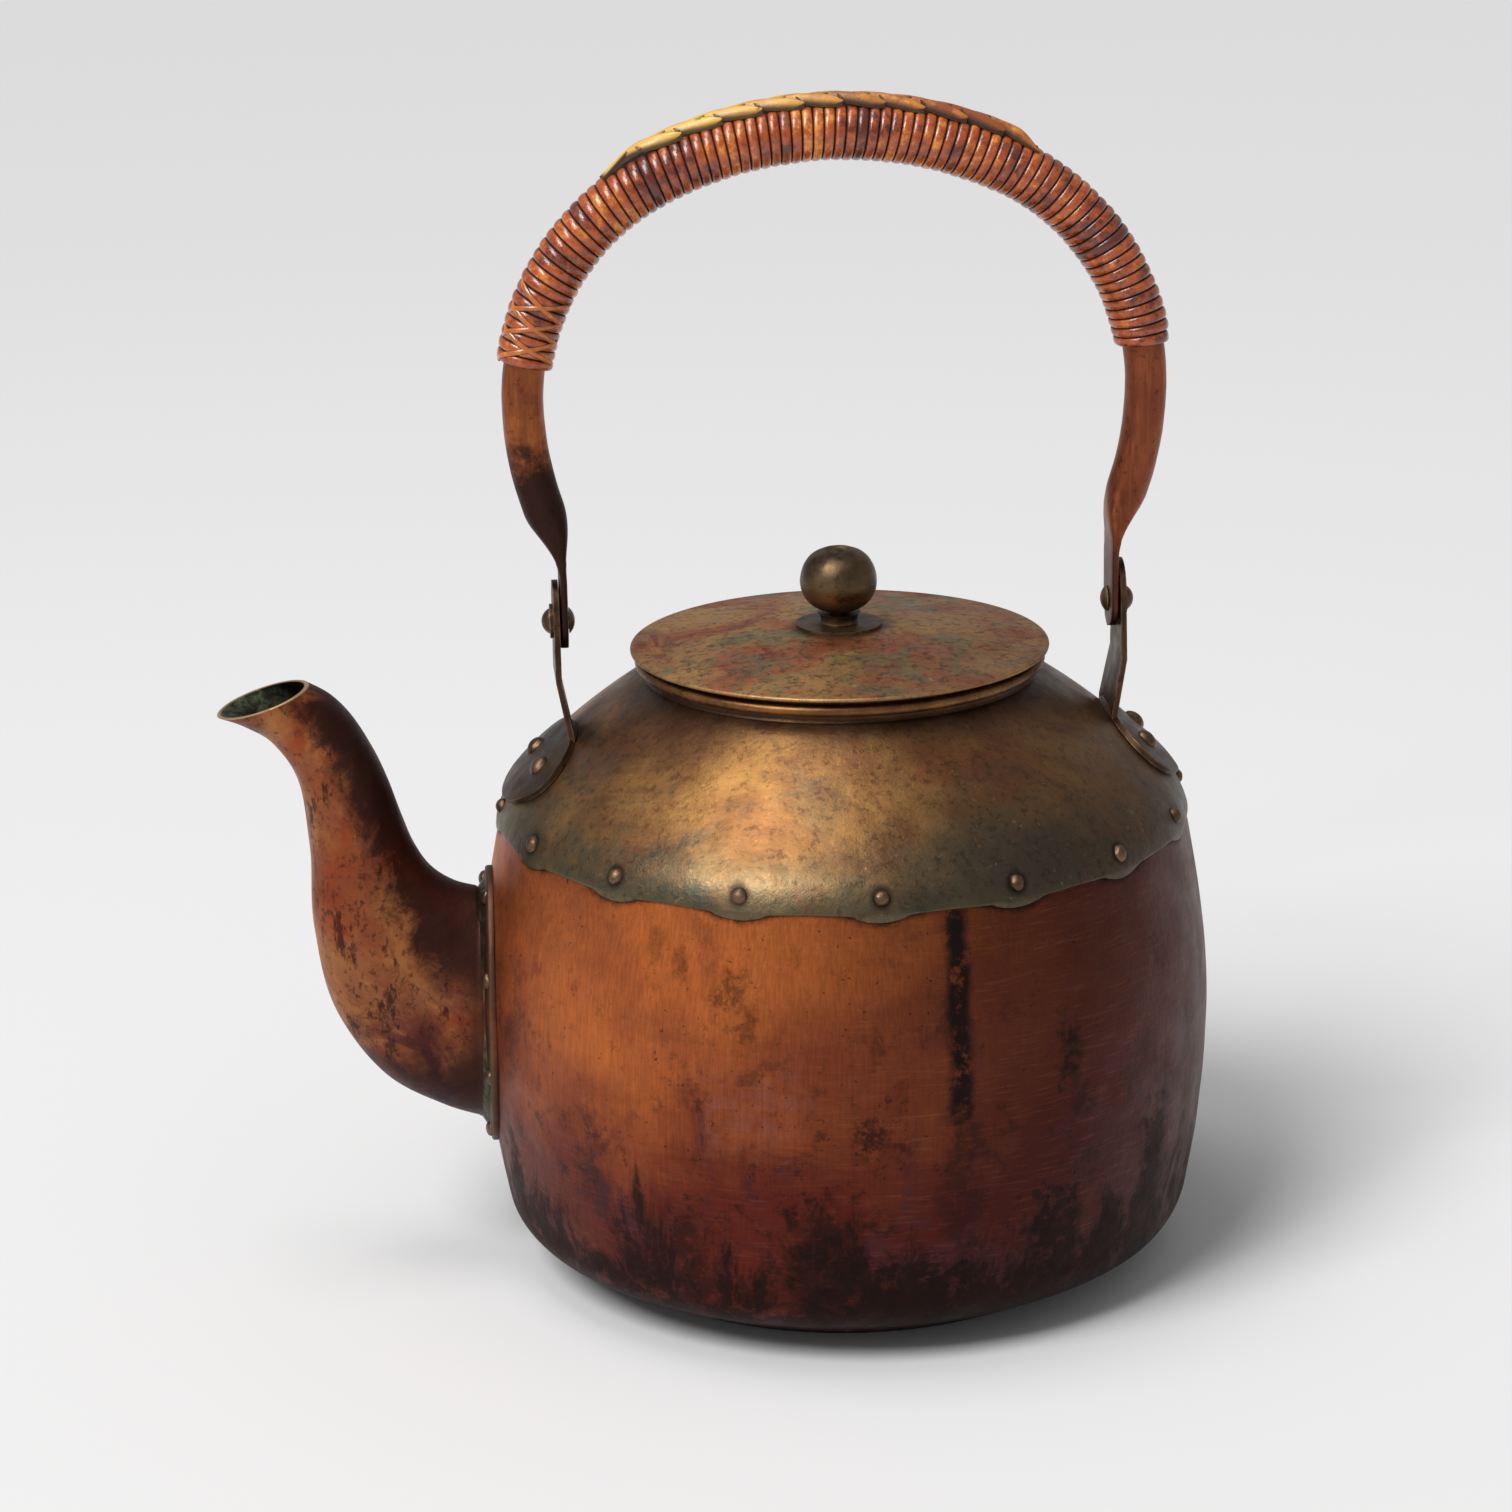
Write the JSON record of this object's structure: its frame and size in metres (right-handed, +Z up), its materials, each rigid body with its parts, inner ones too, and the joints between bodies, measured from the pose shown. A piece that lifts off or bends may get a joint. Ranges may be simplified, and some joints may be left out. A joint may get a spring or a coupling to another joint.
{
  "type": "copper kettle",
  "caption": "Riveted copper kettle with a scalloped shoulder, curved spout, lift-off lid and a swinging bail handle wrapped in cane.",
  "frame": {"origin": "centre of the flat base, on the surface that the kettle stands on", "axes": "+Z up, -X towards the spout, the bail's pivot axis along X, the bail upright in the XZ plane"},
  "size_m": [0.2542, 0.19, 0.3039],
  "materials": {
    "body_copper": "aged hammered copper, satin, stained dark",
    "shoulder_copper": "aged bronze-coloured copper with green tint, satin",
    "dark_bronze": "dark patina, worn edges",
    "bead_brass": "worn, half bright",
    "rivet_copper": "worn, half bright",
    "bail_copper": "aged copper, satin",
    "cane": "varnished cane, glossy",
    "cane_light": "varnished cane, golden"
  },
  "bodies": {
    "kettle": {"body_shell": "body_copper", "shoulder": "shoulder_copper", "shoulder_rivets": "rivet_copper", "neck_bead": "bead_brass", "spout": "body_copper", "spout_rivets": "rivet_copper", "ear_left": "dark_bronze", "ear_right": "dark_bronze", "ear_rivets_left": "rivet_copper", "ear_rivets_right": "rivet_copper", "pivot_washer_left": "dark_bronze", "pivot_washer_right": "dark_bronze", "pivot_rivet_left": "rivet_copper", "pivot_rivet_right": "rivet_copper"},
    "lid": {"lid_plate": "shoulder_copper", "lid_skirt": "shoulder_copper", "knob_boss": "dark_bronze", "knob_collar": "dark_bronze", "knob": "dark_bronze", "knob_stem": "rivet_copper"},
    "bail": {"bail_tube": "bail_copper", "cane_wrap": "cane", "cane_braid": "cane_light"}
  },
  "joints": [
    {"name": "bail_swing", "type": "hinge", "parent": "kettle", "child": "bail", "pos_m": [0, 0, 0.1712], "axis": [1, 0, 0], "range_deg": [-112, 112]},
    {"name": "lid_lift", "type": "slide", "parent": "kettle", "child": "lid", "axis": [0, 0, 1], "range_m": [0, 0.06]}
  ]
}
